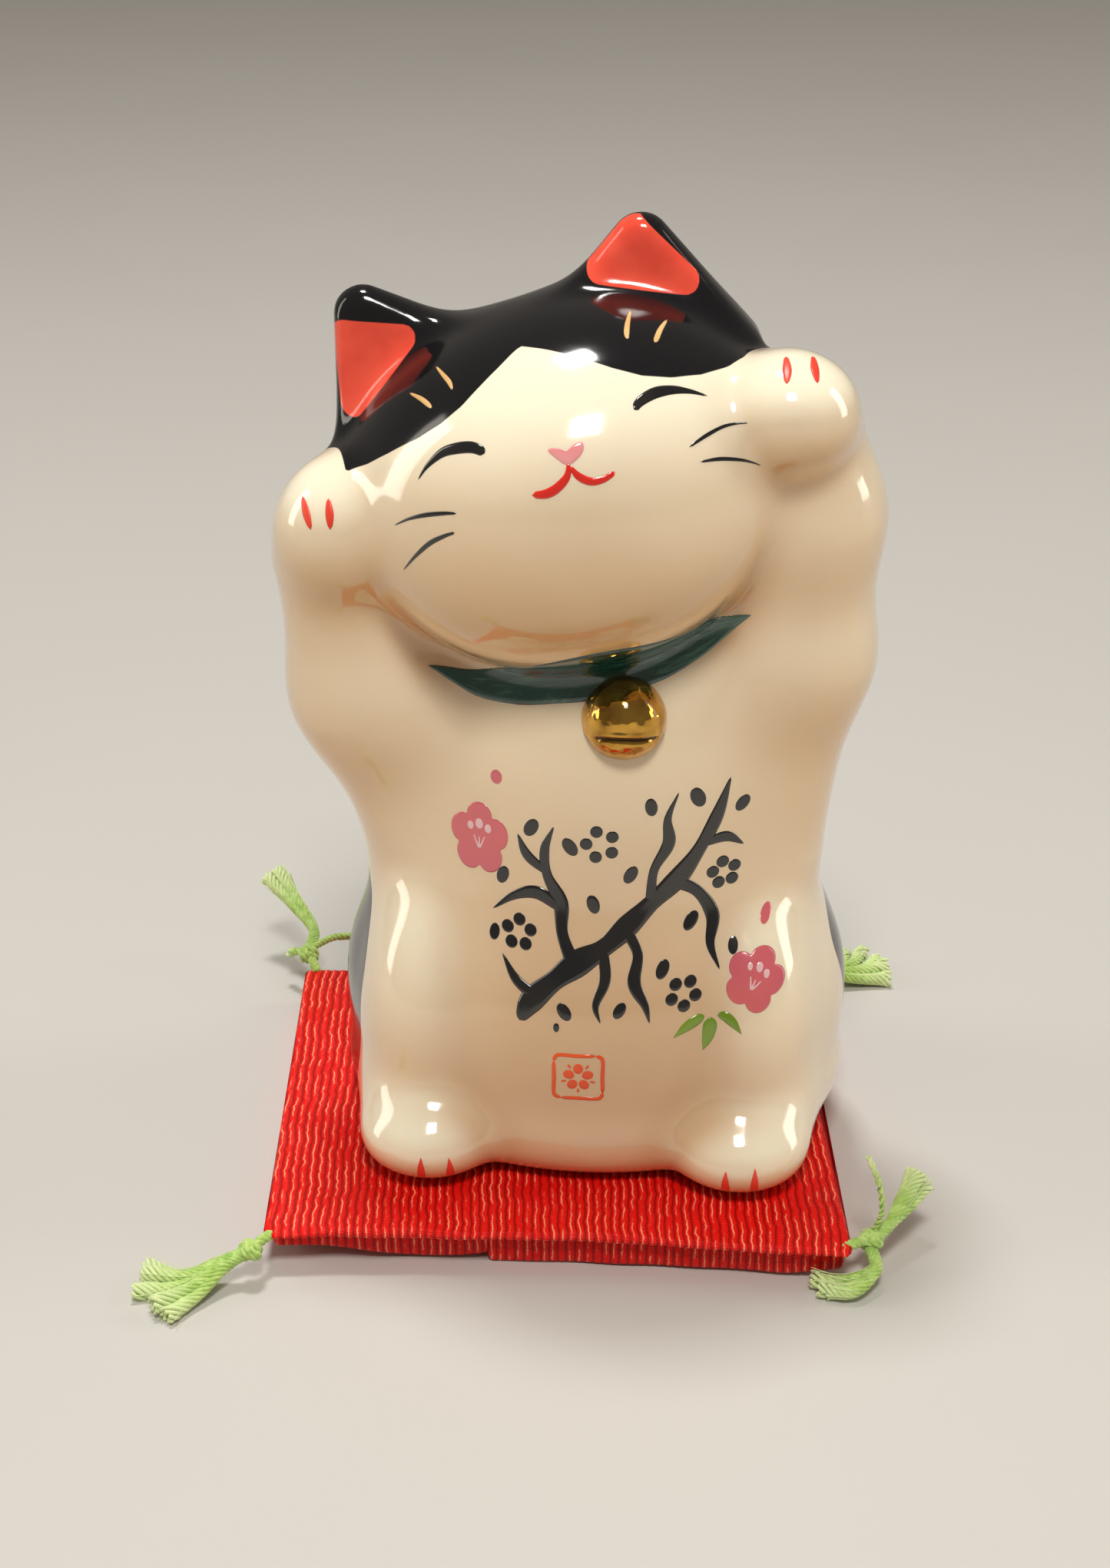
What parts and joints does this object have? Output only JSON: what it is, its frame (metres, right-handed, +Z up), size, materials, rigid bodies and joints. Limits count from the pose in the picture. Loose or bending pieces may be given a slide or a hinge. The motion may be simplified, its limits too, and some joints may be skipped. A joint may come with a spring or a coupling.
{
  "type": "beckoning cat figurine",
  "caption": "Small glazed ceramic beckoning cat with both paws raised and a gilt bell, sitting on a square ribbon cushion with yarn tassels at the corners.",
  "frame": {"origin": "centre of the cushion's underside, on the table", "axes": "+Z up; +Y towards the cat's back, so the cat faces -Y; +X to the right for a viewer who faces the cat"},
  "size_m": [0.0674, 0.062, 0.0804],
  "materials": {
    "glazed_white": "pearly cream-white glaze, very glossy, with painted black, red, pink and green decoration",
    "gold_lustre": "mirror-bright gold lustre over glaze",
    "ribbon_red": "red ribbed grosgrain ribbon with a satin shine",
    "wadding": "matte wadding",
    "yarn_green": "soft light green embroidery yarn"
  },
  "bodies": {
    "cushion": {"cushion_cover": "ribbon_red", "cushion_filling": "wadding"},
    "cat": {"cat_figure": "glazed_white", "bell": "gold_lustre"},
    "front_left_tassel": {"tassel_front_left": "yarn_green"},
    "front_right_tassel": {"tassel_front_right": "yarn_green"},
    "back_left_tassel": {"tassel_back_left": "yarn_green"},
    "back_right_tassel": {"tassel_back_right": "yarn_green"}
  },
  "joints": [
    {"name": "cat_lift", "type": "slide", "parent": "cushion", "child": "cat", "axis": [0, 0, 1], "range_m": [0, 0.03]},
    {"name": "front_left_swing", "type": "hinge", "parent": "cushion", "child": "front_left_tassel", "pos_m": [-0.0242, -0.022, 0.003], "axis": [0, 0, 1], "range_deg": [-25, 25]},
    {"name": "front_right_swing", "type": "hinge", "parent": "cushion", "child": "front_right_tassel", "pos_m": [0.0253, -0.0207, 0.0031], "axis": [0, 0, 1], "range_deg": [0, 20]},
    {"name": "back_left_swing", "type": "hinge", "parent": "cushion", "child": "back_left_tassel", "pos_m": [-0.0237, 0.0249, 0.0042], "axis": [0, 0, 1], "range_deg": [0, 30]},
    {"name": "back_right_swing", "type": "hinge", "parent": "cushion", "child": "back_right_tassel", "pos_m": [0.0247, 0.0244, 0.0026], "axis": [0, 0, 1], "range_deg": [-25, 25]}
  ]
}
